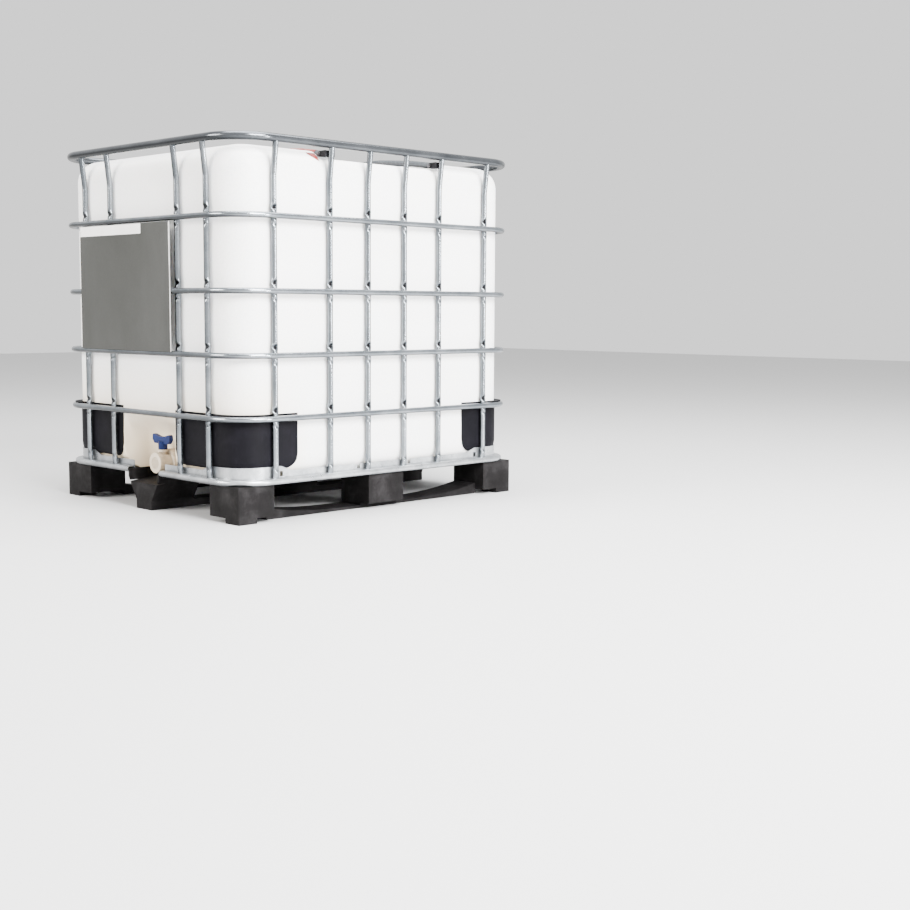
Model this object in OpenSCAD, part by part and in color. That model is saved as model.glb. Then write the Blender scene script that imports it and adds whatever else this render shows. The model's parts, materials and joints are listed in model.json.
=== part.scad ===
// Intermediate bulk container: a blown plastic bottle in a welded tube cage
// on a composite pallet, with a filling cap on top and a butterfly outlet
// valve at the bottom of the front.
// Millimetres. +Z up, front (valve side) towards -Y, origin on the floor under
// the middle of the footprint.

/* [Cage] */
// half of the distance between the side runs of a ring's centre line
ring_half_x = 502; // [480:1:520]
// half of the distance between the end runs of a ring's centre line
ring_half_y = 602; // [580:1:620]
// corner radius of a ring's centre line
ring_corner_r = 130; // [100:1:150]
// outside diameter of the cage tubes
tube_d = 18; // [16:0.5:20]
// outside diameter of the tube of the top rim
rim_d = 26; // [22:0.5:30]
// height of the top of the rim
total_height = 1150; // [1120:1:1180]

/* [Bottle] */
// half width of the bottle
bottle_half_x = 474; // [465:1:475]
// half length of the bottle
bottle_half_y = 574; // [565:1:575]
// radius of the bottle's upright edges
bottle_corner_r = 92; // [85:1:110]
// radius of the bottle's shoulder
shoulder_r = 70; // [50:1:80]
// radius of the bottle's bottom edge
base_r = 75; // [50:1:80]
// wall thickness of the bottle
bottle_wall = 3; // [2:0.5:4]
// height of the bottle's crown
crown_z = 1122; // [1100:1:1124]
// inside radius of the filling neck
neck_bore_r = 75; // [70:1:76]

/* [Pallet] */
// height of the top of the pallet blocks
block_top = 112; // [105:1:112]
// width of a corner block
block_x = 145; // [130:1:150]
// length of a corner block
block_y = 132; // [120:1:140]
// height of the notch under a block
block_lift = 16; // [8:1:20]
// length of a middle block
mid_block_y = 150; // [120:1:160]

/* [Valve] */
// height of the outlet's axis
outlet_z = 145; // [143:1:150]
// bore radius of the outlet
outlet_bore_r = 24.3; // [23:0.1:25]
// outside radius of the outlet's threaded end
outlet_thread_r = 29.5; // [28:0.1:30]
// length of the handle from wing tip to wing tip
handle_length = 96; // [80:1:110]

/* [Hidden] */
$fn = 64;
tube_r = tube_d / 2;
tube_wall = 2;
rim_r = rim_d / 2;
rim_z = total_height - rim_r;
rim_half_x = ring_half_x - 3;
rim_half_y = ring_half_y - 3;
ring_z = [912, 691, 500, 311];

// a tube is pressed flat by this much where it is welded across another
press = 1.5;
upright_half_x = ring_half_x - tube_d + 2 * press;
upright_half_y = ring_half_y - tube_d + 2 * press;
side_upright_y = [-449, -234, -78, 78, 234, 449];
end_upright_x = [-341, -188, 188, 341];
upright_foot_z = 131;
bend_z = 1030;
bend_angle = 6.84;
weld_length = 24;

// pan under the bottle and the rolled rail around it
pan_z = block_top;
sheet = 1.5;
pan_top = pan_z + sheet;
pan_wall = 2;
pan_half_x = bottle_half_x + 1 + pan_wall / 2;
pan_half_y = bottle_half_y + 1 + pan_wall / 2;
pan_corner_r = bottle_corner_r + 1 + pan_wall / 2;
pan_wall_low = 150;
pan_wall_high = 165;
rail_width = 25;
rail_r = (upright_foot_z - pan_z) / 2;
valve_gap = 90;

// valve recess in the foot of the bottle
recess_half = 145;
recess_back_half = 112;
recess_top = 306;
recess_back_top = 262;
recess_y = -474;

// tie bars over the bottle
tie_y = 234;
tie_r = 10;
tie_x = [0, 197, 357, 466];
tie_z = [1137, 1137, 1124, 1109];
function tie_run(i) = [tie_x[i + 1] - tie_x[i], tie_z[i + 1] - tie_z[i]];
tie_angle = [for (i = [0 : 2]) atan2(tie_run(i)[0], tie_run(i)[1])];
tie_mitre = [
    90, (tie_angle[0] + tie_angle[1]) / 2, (tie_angle[1] + tie_angle[2]) / 2, tie_angle[2]
];
groove_half = 20;
bracket_half = 19;
bracket_low = 1096;
bracket_depth = 41;
bolt_r = 4;

// stations of the valve along its axis, from the bottle outwards
outlet_neck_r = 31;
barrel_r = 29.2;
neck_end = -494;
flange_back = -497;
flange_front = -503;
nut_front = -510;
barrel_end = -538;
outlet_end = -551;
seal_t = 2;
cap_end_t = 3;
cap_front = outlet_end - seal_t - cap_end_t;
stem_y = -526;
stem_r = 6;
stem_square_top = 22.5;
running = 0.08;
boss_top = 187;
handle_z = 188;
wing_z = 206;
wing_top = 236;

// filling neck and its cap
neck_top = 1136;
neck_wall = 5;
fill_cap_r = 90;
fill_cap_top = 1148;
vent_r = 26;

// corner guards
guard_gap = 1;
guard_t = 2.5;
guard_low = 156;
guard_top = 324;
guard_end_x = 150;
guard_end_y = 356;

// label plate
plate_left = -336;
plate_right = 185;
plate_low = 505;
plate_top = 901;
plate_t = 1;

// ---------------------------------------------------------------- helpers

// Sweeps a profile (x outwards, y up) around a rounded rectangle.
module loop(half_x, half_y, r) {
    for (i = [0 : 3]) {
        a = i % 2 == 0 ? half_x : half_y;
        b = i % 2 == 0 ? half_y : half_x;
        rotate([0, 0, 90 * i]) {
            translate([a, b - r, 0])
                rotate([90, 0, 0])
                    linear_extrude(2 * (b - r))
                        children();
            translate([a - r, b - r, 0])
                rotate_extrude(angle = 90)
                    translate([r, 0])
                        children();
        }
    }
}

module tube_loop(half_x, half_y, r, tube, wall, z) {
    difference() {
        loop(half_x, half_y, r) translate([0, z]) circle(tube);
        loop(half_x, half_y, r) translate([0, z]) circle(tube - wall);
    }
}

// Solid rounded box: upright edges r, shoulder r_top, bottom edge r_low.
module rounded_box(half_x, half_y, low, top, r, r_low, r_top) {
    loop(half_x, half_y, r)
        difference() {
            translate([-r, low]) square([r, top - low]);
            edge_cut(r_low, low, -1);
            edge_cut(r_top, top, 1);
        }
    translate([-half_x + r, -half_y + r, low])
        cube([2 * (half_x - r), 2 * (half_y - r), top - low]);
}

module edge_cut(r, z, side) {
    difference() {
        translate([-r, side > 0 ? z - r : z - 1]) square([r + 1, r + 1]);
        translate([-r, z - side * r]) circle(r);
    }
}

// Straight round bar from one point of the XZ plane to another.
module rod(from, to, r) {
    run = to - from;
    translate([from[0], 0, from[1]])
        rotate([0, atan2(run[0], run[1]), 0])
            cylinder(h = norm(run), r = r);
}

module along_y(y, z = 0) {
    translate([0, y, z]) rotate([90, 0, 0]) children();
}

module both_x() {
    children();
    mirror([1, 0, 0]) children();
}

// ----------------------------------------------------------------- bottle

// Band across the top that is sunk to clear the tie bars.
module top_band(grow) {
    half = tie_y + groove_half + grow;
    translate([0, half, 0])
        rotate([90, 0, 0])
            linear_extrude(2 * half)
                for (m = [0, 1])
                    mirror([m, 0])
                        polygon([
                            for (i = [0 : 3]) [tie_x[i], tie_z[i] - tie_r - 4 - grow],
                            [bottle_half_x + 2, tie_z[3] - tie_r - 6 - grow],
                            [bottle_half_x + 2, crown_z + 9],
                            [0, crown_z + 9]
                        ]);
}

// Valve recess in the foot of the front, narrowing towards its back wall.
module recess(grow) {
    face = -bottle_half_y;
    back = recess_y + grow;
    intersection() {
        translate([0, 0, pan_z - 30])
            linear_extrude(recess_top - pan_z + grow + 60)
                polygon([
                    [-recess_half - grow, face - 20], [recess_half + grow, face - 20],
                    [recess_half + grow, face], [recess_back_half + grow, back],
                    [-recess_back_half - grow, back], [-recess_half - grow, face]
                ]);
        translate([-recess_half - grow - 5, 0, 0])
            rotate([90, 0, 90])
                linear_extrude(2 * (recess_half + grow + 5))
                    polygon([
                        [face - 20, pan_z - 20], [face - 20, recess_top + grow],
                        [face, recess_top + grow], [back, recess_back_top + grow],
                        [back, pan_z - 20]
                    ]);
    }
}

module bottle_form(inset) {
    difference() {
        rounded_box(
            bottle_half_x - inset, bottle_half_y - inset,
            pan_top + inset, crown_z - inset,
            bottle_corner_r - inset, base_r - inset, shoulder_r - inset
        );
        top_band(inset);
        recess(inset);
    }
}

module bottle() {
    color([0.93, 0.92, 0.90])
        difference() {
            union() {
                bottle_form(0);
                translate([0, 0, crown_z - 20])
                    cylinder(h = neck_top - crown_z + 20, r = neck_bore_r + neck_wall);
                along_y(recess_y + bottle_wall, outlet_z)
                    cylinder(h = recess_y + bottle_wall - neck_end, r = outlet_neck_r);
            }
            bottle_form(bottle_wall);
            translate([0, 0, crown_z - 30]) cylinder(h = 60, r = neck_bore_r);
            along_y(recess_y + 20, outlet_z) cylinder(h = 60, r = outlet_bore_r);
        }
}

module fill_cap() {
    ribs = 36;
    color([0.78, 0.16, 0.12])
        difference() {
            union() {
                translate([0, 0, crown_z + 1])
                    cylinder(h = fill_cap_top - crown_z - 1, r = fill_cap_r - 2);
                for (i = [0 : ribs - 1])
                    rotate([0, 0, i * 360 / ribs])
                        translate([fill_cap_r - 5, -2.5, crown_z + 1])
                            cube([5, 5, fill_cap_top - crown_z - 4]);
            }
            translate([0, 0, crown_z])
                cylinder(h = neck_top + 2 - crown_z, r = neck_bore_r + neck_wall + 1);
            translate([0, 0, neck_top]) cylinder(h = 40, r = vent_r + 0.6);
            translate([0, 0, fill_cap_top - 4]) cylinder(h = 10, r = 40);
        }
}

module fill_cap_gasket() {
    color([0.12, 0.12, 0.12])
        translate([0, 0, neck_top])
            difference() {
                cylinder(h = 2, r = neck_bore_r + neck_wall);
                translate([0, 0, -1]) cylinder(h = 4, r = neck_bore_r - 1);
            }
}

module vent_plug_gasket() {
    color([0.12, 0.12, 0.12])
        translate([0, 0, fill_cap_top - 4])
            difference() {
                cylinder(h = 1.5, r = 34);
                translate([0, 0, -1]) cylinder(h = 4, r = vent_r + 0.2);
            }
}

module vent_plug() {
    color([0.78, 0.16, 0.12])
        difference() {
            union() {
                translate([0, 0, neck_top + 2])
                    cylinder(h = fill_cap_top - neck_top - 4, r = vent_r);
                translate([0, 0, fill_cap_top - 2.5]) cylinder(h = 3.5, r = 36);
            }
            for (a = [0, 90])
                rotate([0, 0, a])
                    translate([-22, -4, fill_cap_top - 5]) cube([44, 8, 10]);
        }
}

// ------------------------------------------------------------------ valve

module valve_body() {
    color([0.85, 0.80, 0.73])
        difference() {
            union() {
                along_y(flange_back, outlet_z)
                    cylinder(h = flange_back - flange_front, r = outlet_neck_r);
                along_y(flange_front, outlet_z)
                    cylinder(h = flange_front - barrel_end, r = barrel_r);
                along_y(barrel_end, outlet_z)
                    cylinder(h = barrel_end - outlet_end, r = outlet_thread_r - 1);
                for (i = [0, 1])
                    along_y(barrel_end - 3 - 6 * i, outlet_z)
                        cylinder(h = 2.5, r = outlet_thread_r + 0.5);
                translate([0, stem_y, outlet_z])
                    cylinder(h = boss_top - outlet_z - 6, r = 13);
                translate([0, stem_y, boss_top - 6]) cylinder(h = 6, r = 16);
            }
            along_y(flange_back + 1, outlet_z) cylinder(h = 60, r = outlet_bore_r);
            along_y(stem_y + 6, outlet_z) cylinder(h = 12, r = outlet_bore_r + 2.5);
            translate([0, stem_y, outlet_z])
                cylinder(h = 60, r = stem_r + running);
        }
}

module valve_seat() {
    color([0.14, 0.14, 0.14])
        difference() {
            along_y(stem_y + 6, outlet_z) cylinder(h = 12, r = outlet_bore_r + 2.5);
            along_y(stem_y + 10, outlet_z) cylinder(h = 20, r = outlet_bore_r);
            translate([0, stem_y, outlet_z]) cylinder(h = 60, r = stem_r + running);
        }
}

module valve_disc() {
    color([0.20, 0.20, 0.22])
        difference() {
            intersection() {
                translate([0, stem_y, outlet_z]) sphere(r = outlet_bore_r - 0.4);
                union() {
                    along_y(stem_y + 2.5, outlet_z) cylinder(h = 5, r = 40);
                    translate([0, stem_y, outlet_z - 22]) cylinder(h = 44, r = 8);
                }
            }
            translate([-stem_r + 1, stem_y - stem_r + 1, outlet_z - 5])
                cube([2 * stem_r - 2, 2 * stem_r - 2, 40]);
        }
}

module valve_stem() {
    color([0.16, 0.30, 0.62]) {
        difference() {
            translate([0, stem_y, outlet_z + stem_square_top])
                cylinder(h = handle_z + 14 - outlet_z - stem_square_top, r = stem_r);
            translate([0, stem_y, handle_z + 4]) cylinder(h = 40, r = 2.5);
        }
        translate([-stem_r + 1, stem_y - stem_r + 1, outlet_z - 5])
            cube([2 * stem_r - 2, 2 * stem_r - 2, stem_square_top + 5]);
    }
}

module valve_handle() {
    half = handle_length / 2;
    color([0.16, 0.36, 0.69])
        difference() {
            union() {
                translate([0, stem_y, handle_z]) cylinder(h = wing_z - handle_z + 6, r = 15);
                along_y(stem_y + 7)
                    linear_extrude(14)
                        polygon([
                            [-half + 10, wing_z], [half - 10, wing_z],
                            [half, wing_z + 12], [half, wing_top - 4],
                            [half - 5, wing_top], [12, wing_top - 8],
                            [-12, wing_top - 8], [-half + 5, wing_top],
                            [-half, wing_top - 4], [-half, wing_z + 12]
                        ]);
            }
            translate([0, stem_y, handle_z - 1]) cylinder(h = 15, r = stem_r);
            translate([0, stem_y, handle_z]) cylinder(h = 60, r = 2.5);
            translate([0, stem_y, wing_z + 14]) cylinder(h = 60, r = 6);
        }
}

module handle_screw() {
    color([0.72, 0.73, 0.75]) {
        translate([0, stem_y, handle_z + 6]) cylinder(h = wing_z + 8 - handle_z, r = 2.5);
        translate([0, stem_y, wing_z + 14])
            difference() {
                cylinder(h = 4, r = 5);
                translate([0, 0, 2]) cylinder(h = 4, r = 2.4, $fn = 6);
            }
    }
}

module union_nut() {
    ribs = 16;
    color([0.83, 0.78, 0.70])
        difference() {
            union() {
                along_y(recess_y - 4, outlet_z)
                    cylinder(h = recess_y - 4 - nut_front, r = 41);
                for (i = [0 : ribs - 1])
                    translate([0, nut_front, outlet_z])
                        rotate([0, i * 360 / ribs, 0])
                            translate([38, 0, -4])
                                cube([5, recess_y - 4 - nut_front, 8]);
            }
            along_y(recess_y, outlet_z)
                cylinder(h = recess_y - flange_front, r = outlet_neck_r + 0.8);
            along_y(recess_y, outlet_z) cylinder(h = 60, r = barrel_r + 0.5);
        }
}

module outlet_gasket() {
    color([0.12, 0.12, 0.12])
        along_y(neck_end, outlet_z)
            difference() {
                cylinder(h = neck_end - flange_back, r = outlet_neck_r);
                translate([0, 0, -1]) cylinder(h = 6, r = outlet_neck_r - 5);
            }
}

module dust_cap() {
    ribs = 28;
    back = barrel_end - 2.5;
    color([0.85, 0.80, 0.73])
        difference() {
            union() {
                along_y(back, outlet_z) cylinder(h = back - cap_front, r = 32.4);
                for (i = [0 : ribs - 1])
                    translate([0, cap_front + 2, outlet_z])
                        rotate([0, i * 360 / ribs, 0])
                            translate([31.9, 0, -1.5])
                                cube([1.3, back - cap_front - 2.5, 3]);
            }
            along_y(back + 1, outlet_z)
                cylinder(h = back + 1 - cap_front - cap_end_t, r = 31.4);
            along_y(cap_front + 1, outlet_z) cylinder(h = 10, r = 20);
        }
}

module dust_cap_seal() {
    color([0.12, 0.12, 0.12])
        along_y(outlet_end, outlet_z)
            difference() {
                cylinder(h = seal_t, r = outlet_thread_r - 1);
                translate([0, 0, -1]) cylinder(h = 6, r = outlet_bore_r);
            }
}

// ------------------------------------------------------------------- cage

module weld_flats(z) {
    side = tube_r - press;
    for (s = [-1, 1]) {
        for (y = side_upright_y)
            translate([s * (ring_half_x - side - 5), y, z])
                cube([10, weld_length, weld_length], center = true);
        for (x = end_upright_x)
            translate([x, s * (ring_half_y - side - 5), z])
                cube([weld_length, 10, weld_length], center = true);
    }
}

module ring(z) {
    color([0.70, 0.73, 0.77])
        difference() {
            tube_loop(ring_half_x, ring_half_y, ring_corner_r, tube_r, tube_wall, z);
            weld_flats(z);
        }
}

module cage_rim() {
    color([0.70, 0.73, 0.77])
        tube_loop(rim_half_x, rim_half_y, ring_corner_r, rim_r, tube_wall, rim_z);
}

// Upright standing at the origin with its outer side towards +X: a straight
// length and a leaning top length, mitred together where the tube is bent.
module upright_core(r) {
    difference() {
        translate([0, 0, upright_foot_z])
            cylinder(h = bend_z - upright_foot_z + 20, r = r);
        bend_plane() translate([-40, -40, 0]) cube(80);
    }
    difference() {
        translate([0, 0, bend_z])
            rotate([0, bend_angle, 0])
                translate([0, 0, -20]) cylinder(h = 140, r = r);
        bend_plane() translate([-40, -40, -80]) cube(80);
    }
}

module bend_plane() {
    translate([0, 0, bend_z]) rotate([0, bend_angle / 2, 0]) children();
}

module upright() {
    color([0.70, 0.73, 0.77])
        difference() {
            upright_core(tube_r);
            upright_core(tube_r - tube_wall);
            translate([rim_half_x - upright_half_x, 50, rim_z])
                rotate([90, 0, 0]) cylinder(h = 100, r = rim_r);
            translate([-40, -40, rim_z]) cube(80);
            for (z = ring_z)
                translate([tube_r - press + 5, 0, z])
                    cube([10, weld_length, weld_length], center = true);
        }
}

module side_upright(side, i) {
    translate([side * upright_half_x, side_upright_y[i - 1], 0])
        rotate([0, 0, side > 0 ? 0 : 180]) upright();
}

module end_upright(side, i) {
    translate([end_upright_x[i - 1], side * upright_half_y, 0])
        rotate([0, 0, 90 * side]) upright();
}

// Three straight lengths from the middle outwards, mitred together.
module tie_bar_core(r) {
    for (m = [0, 1])
        mirror([m, 0, 0])
            for (i = [0 : 2])
                difference() {
                    at_tie(i, tie_angle[i])
                        translate([0, 0, -20])
                            cylinder(h = norm(tie_run(i)) + 40, r = r);
                    at_tie(i, tie_mitre[i]) translate([-40, -40, -80]) cube(80);
                    at_tie(i + 1, tie_mitre[i + 1]) translate([-40, -40, 0]) cube(80);
                }
}

module at_tie(i, angle) {
    translate([tie_x[i], 0, tie_z[i]]) rotate([0, angle, 0]) children();
}

module tie_bar() {
    difference() {
        tie_bar_core(tie_r);
        tie_bar_core(tie_r - tube_wall);
        for (s = [-1, 1])
            translate([s * (tie_x[3] - 6), 30, tie_z[3] + 1])
                rotate([90, 0, 0]) cylinder(h = 60, r = bolt_r);
    }
}

module tie_bar_front() {
    color([0.68, 0.71, 0.75]) translate([0, -tie_y, 0]) tie_bar();
}

module tie_bar_back() {
    color([0.68, 0.71, 0.75]) translate([0, tie_y, 0]) tie_bar();
}

module tie_bracket() {
    difference() {
        translate([452, -bracket_half, bracket_low])
            cube([bracket_depth, 2 * bracket_half, rim_z - rim_r - bracket_low]);
        translate([upright_half_x, 0, 0]) upright_core(tube_r);
        rod([tie_x[2], tie_z[2]], [tie_x[3], tie_z[3]], tie_r);
        translate([440, -50, bracket_low - 1]) rotate([0, 45, 0]) cube([14, 100, 14]);
        translate([tie_x[3] - 6, 50, tie_z[3] + 1])
            rotate([90, 0, 0]) cylinder(h = 100, r = bolt_r);
    }
}

module tie_brackets() {
    color([0.13, 0.13, 0.14])
        for (s = [-1, 1])
            both_x() translate([0, s * tie_y, 0]) tie_bracket();
}

module tie_bolts() {
    color([0.66, 0.68, 0.70])
        for (s = [-1, 1])
            both_x()
                translate([tie_x[3] - 6, s * tie_y, tie_z[3] + 1])
                    rotate([90, 0, 0]) {
                        translate([0, 0, -bracket_half - 7])
                            cylinder(h = 2 * bracket_half + 14, r = bolt_r);
                        translate([0, 0, bracket_half])
                            cylinder(h = 5, r = 7, $fn = 6);
                        translate([0, 0, -bracket_half - 6])
                            cylinder(h = 6, r = 7, $fn = 6);
                    }
}

module label_plate() {
    color([0.50, 0.50, 0.48])
        translate([plate_left, -rim_half_y - rim_r, plate_low])
            cube([plate_right - plate_left, plate_t, plate_top - plate_low]);
}

// ------------------------------------------------------------------ guards

module guard_profile() {
    inner = guard_gap;
    outer = guard_gap + guard_t;
    bend = pan_top + base_r;
    translate([inner, bend]) square([guard_t, guard_top - bend]);
    intersection() {
        difference() {
            translate([-base_r, bend]) circle(base_r + outer);
            translate([-base_r, bend]) circle(base_r + inner);
        }
        translate([-base_r, guard_low]) square([base_r + outer + 1, bend - guard_low]);
    }
}

module guard_ledge() {
    translate([guard_gap, guard_top - 3]) square([24, 3]);
}

module corner_guard() {
    run_x = bottle_half_x - bottle_corner_r;
    run_y = bottle_half_y - bottle_corner_r;
    bevel = 45;
    color([0.17, 0.17, 0.20])
        difference() {
            union() {
                translate([run_x, run_y, 0])
                    rotate_extrude(angle = 90)
                        translate([bottle_corner_r, 0]) {
                            guard_profile();
                            guard_ledge();
                        }
                translate([bottle_half_x, run_y, 0])
                    rotate([90, 0, 0])
                        linear_extrude(run_y - guard_end_y) guard_profile();
                translate([guard_end_x, bottle_half_y, 0])
                    rotate([90, 0, 90])
                        linear_extrude(run_x - guard_end_x) guard_profile();
            }
            translate([bottle_half_x - 40, guard_end_y, guard_low])
                rotate([90, 0, 90]) corner_bevel(bevel);
            translate([guard_end_x, bottle_half_y + 20, guard_low])
                rotate([90, 0, 0]) corner_bevel(bevel);
        }
}

module corner_bevel(r) {
    linear_extrude(60)
        polygon([
            [-1, -1], [r + 1, -1], [0.45 * r, 0.15 * r],
            [0.15 * r, 0.45 * r], [-1, r + 1]
        ]);
}

// ------------------------------------------------------------------ pallet

module floor_pan() {
    inner_x = pan_half_x + pan_wall / 2;
    inner_y = pan_half_y + pan_wall / 2;
    r = pan_corner_r + pan_wall / 2;
    dip = pan_wall_high - pan_wall_low;
    color([0.72, 0.74, 0.76])
        difference() {
            union() {
                loop(inner_x, inner_y, r)
                    translate([-r, pan_z]) square([r, sheet]);
                translate([-inner_x + r, -inner_y + r, pan_z])
                    cube([2 * (inner_x - r), 2 * (inner_y - r), sheet]);
                loop(pan_half_x, pan_half_y, pan_corner_r)
                    translate([-pan_wall / 2, pan_z])
                        square([pan_wall, pan_wall_high - pan_z]);
            }
            for (s = [-1, 1]) {
                translate([s * pan_half_x, 0, pan_wall_low])
                    wall_dip(420, dip, 90);
                translate([0, s * pan_half_y, pan_wall_low])
                    wall_dip(330, dip, 0);
                for (y = [-420, -110, 110, 420])
                    translate([s * pan_half_x, y, 142])
                        cube([20, 12, 16], center = true);
            }
            translate([-valve_gap + 2, -700, pan_z - 20])
                cube([2 * valve_gap - 4, 700 + recess_y, 100]);
        }
}

// Long shallow dip in the top of a pan wall, sloped at both ends.
module wall_dip(half, dip, turn) {
    rotate([0, 0, turn])
        translate([0, 20, 0])
            rotate([90, 0, 0])
                linear_extrude(40)
                    polygon([
                        [-half, dip + 1], [-half, dip], [-half + 40, 0],
                        [half - 40, 0], [half, dip], [half, dip + 1]
                    ]);
}

module rail_profile(wall) {
    inner = -rail_width / 2;
    outer = rail_width / 2;
    mid = pan_z + rail_r;
    translate([outer - rail_r, mid]) circle(rail_r - wall);
    translate([inner + wall, mid - rail_r + wall])
        square([rail_width - rail_r - wall, 2 * (rail_r - wall)]);
}

module perimeter_rail() {
    offset_out = pan_wall / 2 + rail_width / 2;
    color([0.70, 0.72, 0.75])
        difference() {
            loop(pan_half_x + offset_out, pan_half_y + offset_out, pan_corner_r + offset_out)
                difference() {
                    rail_profile(0);
                    rail_profile(2);
                }
            translate([-valve_gap, -700, pan_z - 20])
                cube([2 * valve_gap, 700 + recess_y, 100]);
        }
}

module corner_block() {
    out_x = upright_half_x;
    out_y = upright_half_y;
    pad = 67;
    color([0.22, 0.20, 0.21])
        difference() {
            translate([out_x - block_x, out_y - block_y, 0])
                cube([block_x, block_y, block_top]);
            translate([out_x - block_x - 1, out_y - block_y - 1, -1])
                linear_extrude(block_lift + 1)
                    difference() {
                        square([block_x + 2, block_y + 2]);
                        translate([block_x + 1 - pad, block_y + 1 - pad]) square(pad);
                    }
            for (i = [0 : 2])
                translate([out_x - block_x + 16 + 42 * i, out_y - block_y + 14, -1])
                    cube([30, block_y - pad - 24, block_top - 8]);
        }
}

module place_corner(i) {
    sx = i == 1 || i == 4 ? -1 : 1;
    sy = i <= 2 ? -1 : 1;
    mirror([sx < 0 ? 1 : 0, 0, 0]) mirror([0, sy < 0 ? 1 : 0, 0]) children();
}

module middle_block(side) {
    depth = 137;
    runner_x = 447;
    color([0.22, 0.20, 0.21])
        mirror([side < 0 ? 1 : 0, 0, 0])
            translate([0, mid_block_y / 2, 0])
                rotate([90, 0, 0])
                    linear_extrude(mid_block_y)
                        polygon([
                            [upright_half_x, block_lift + 4], [upright_half_x, block_top],
                            [upright_half_x - depth, block_top], [upright_half_x - depth, 9],
                            [runner_x, 9], [runner_x, block_lift],
                            [upright_half_x - 4, block_lift]
                        ]);
}

module side_runner(side) {
    end_y = upright_half_y - block_y;
    mid_y = mid_block_y / 2;
    steps = 8;
    top = [for (i = [0 : steps])
        let (t = i / steps)
            [mid_y + (end_y - mid_y) * (1 - t), 9 + 28 * pow(1 - t, 3)]];
    color([0.26, 0.24, 0.24])
        for (m = [0, 1])
            mirror([0, m, 0])
                translate([side > 0 ? 347 : -447, 0, 0])
                    rotate([90, 0, 90])
                        linear_extrude(100)
                            polygon(concat([[0, 0], [end_y, 0]], top, [[0, 9]]));
}

module skid_foot(half_top, half_low, top) {
    polygon([
        [-half_low, 0], [half_low, 0], [half_low, 28],
        [half_top, 100], [half_top, top], [-half_top, top],
        [-half_top, 100], [-half_low, 28]
    ]);
}

module centre_skid() {
    half_top = valve_gap - 2;
    half_low = 42;
    front = -ring_half_y + 2;
    trough_back = -462;
    foot_back = -440;
    color([0.16, 0.15, 0.16])
        difference() {
            union() {
                along_y(recess_y - 19)
                    linear_extrude(recess_y - 19 - front) skid_foot(half_top, half_low, 125);
                along_y(trough_back)
                    linear_extrude(trough_back - recess_y + 19) skid_foot(half_top, half_low, 101);
                along_y(foot_back)
                    linear_extrude(foot_back - trough_back) skid_foot(half_top, half_low, block_top);
                for (y = [mid_block_y / 2, upright_half_y])
                    along_y(y)
                        linear_extrude(mid_block_y) skid_foot(half_top - 20, half_low, block_top);
                translate([-half_low, foot_back, 0])
                    cube([2 * half_low, upright_half_y - foot_back, 22]);
            }
            translate([-half_top + 8, 0, 0])
                rotate([90, 0, 90])
                    linear_extrude(2 * half_top - 16)
                        polygon([
                            [front - 1, 84], [recess_y - 1, 98],
                            [recess_y - 1, 150], [front - 1, 150]
                        ]);
            for (y = [-470, 0, 515])
                translate([0, y, 40]) cube([44, 42, 100], center = true);
        }
}

// ---------------------------------------------------------------- assembly

bottle();
fill_cap();
fill_cap_gasket();
vent_plug();
vent_plug_gasket();
valve_body();
valve_disc();
valve_seat();
valve_stem();
valve_handle();
handle_screw();
union_nut();
outlet_gasket();
dust_cap();
dust_cap_seal();
cage_rim();
ring(ring_z[0]);  // ring_top
ring(ring_z[1]);  // ring_upper
ring(ring_z[2]);  // ring_middle
ring(ring_z[3]);  // ring_lower
for (i = [1 : 6]) {
    side_upright(-1, i);
    side_upright(1, i);
}
for (i = [1 : 4]) {
    end_upright(-1, i);
    end_upright(1, i);
    place_corner(i) corner_guard();
    place_corner(i) corner_block();
}
floor_pan();
perimeter_rail();
middle_block(-1);  // middle_block_left
middle_block(1);  // middle_block_right
centre_skid();
side_runner(-1);  // side_runner_left
side_runner(1);  // side_runner_right
tie_bar_front();
tie_bar_back();
tie_brackets();
tie_bolts();
label_plate();
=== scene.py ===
import json
import math

import bmesh
import bpy
from mathutils import Matrix, Vector


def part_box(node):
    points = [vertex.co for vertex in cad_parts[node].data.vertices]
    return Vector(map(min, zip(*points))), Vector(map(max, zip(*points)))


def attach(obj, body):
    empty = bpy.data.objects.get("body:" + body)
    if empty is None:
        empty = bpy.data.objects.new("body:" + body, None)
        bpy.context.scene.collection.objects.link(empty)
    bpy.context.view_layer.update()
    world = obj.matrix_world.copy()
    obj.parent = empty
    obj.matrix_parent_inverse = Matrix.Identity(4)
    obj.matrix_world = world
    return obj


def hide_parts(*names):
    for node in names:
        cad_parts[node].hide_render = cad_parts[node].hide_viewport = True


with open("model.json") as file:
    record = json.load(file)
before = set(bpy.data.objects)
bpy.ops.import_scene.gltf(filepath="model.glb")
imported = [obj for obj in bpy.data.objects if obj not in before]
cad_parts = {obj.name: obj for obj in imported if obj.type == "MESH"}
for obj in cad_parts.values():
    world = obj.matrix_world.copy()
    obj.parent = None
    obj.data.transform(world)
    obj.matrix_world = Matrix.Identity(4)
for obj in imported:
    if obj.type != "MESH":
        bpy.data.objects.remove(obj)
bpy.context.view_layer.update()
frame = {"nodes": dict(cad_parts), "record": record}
record = frame["record"]
MM = 0.001


# ---------------------------------------------------------------- materials

def ramp(nodes, links, source, stops):
    """Colour ramp over source; each stop is a place with a colour or one grey level."""
    r = nodes.new("ShaderNodeValToRGB")
    while len(r.color_ramp.elements) < len(stops):
        r.color_ramp.elements.new(0.5)
    for e, (pos, col) in zip(r.color_ramp.elements, stops):
        e.position = pos
        e.color = (*col, 1) if len(col) == 3 else (col[0], col[0], col[0], 1)
    links.new(source, r.inputs[0])
    return r.outputs[0]


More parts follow.
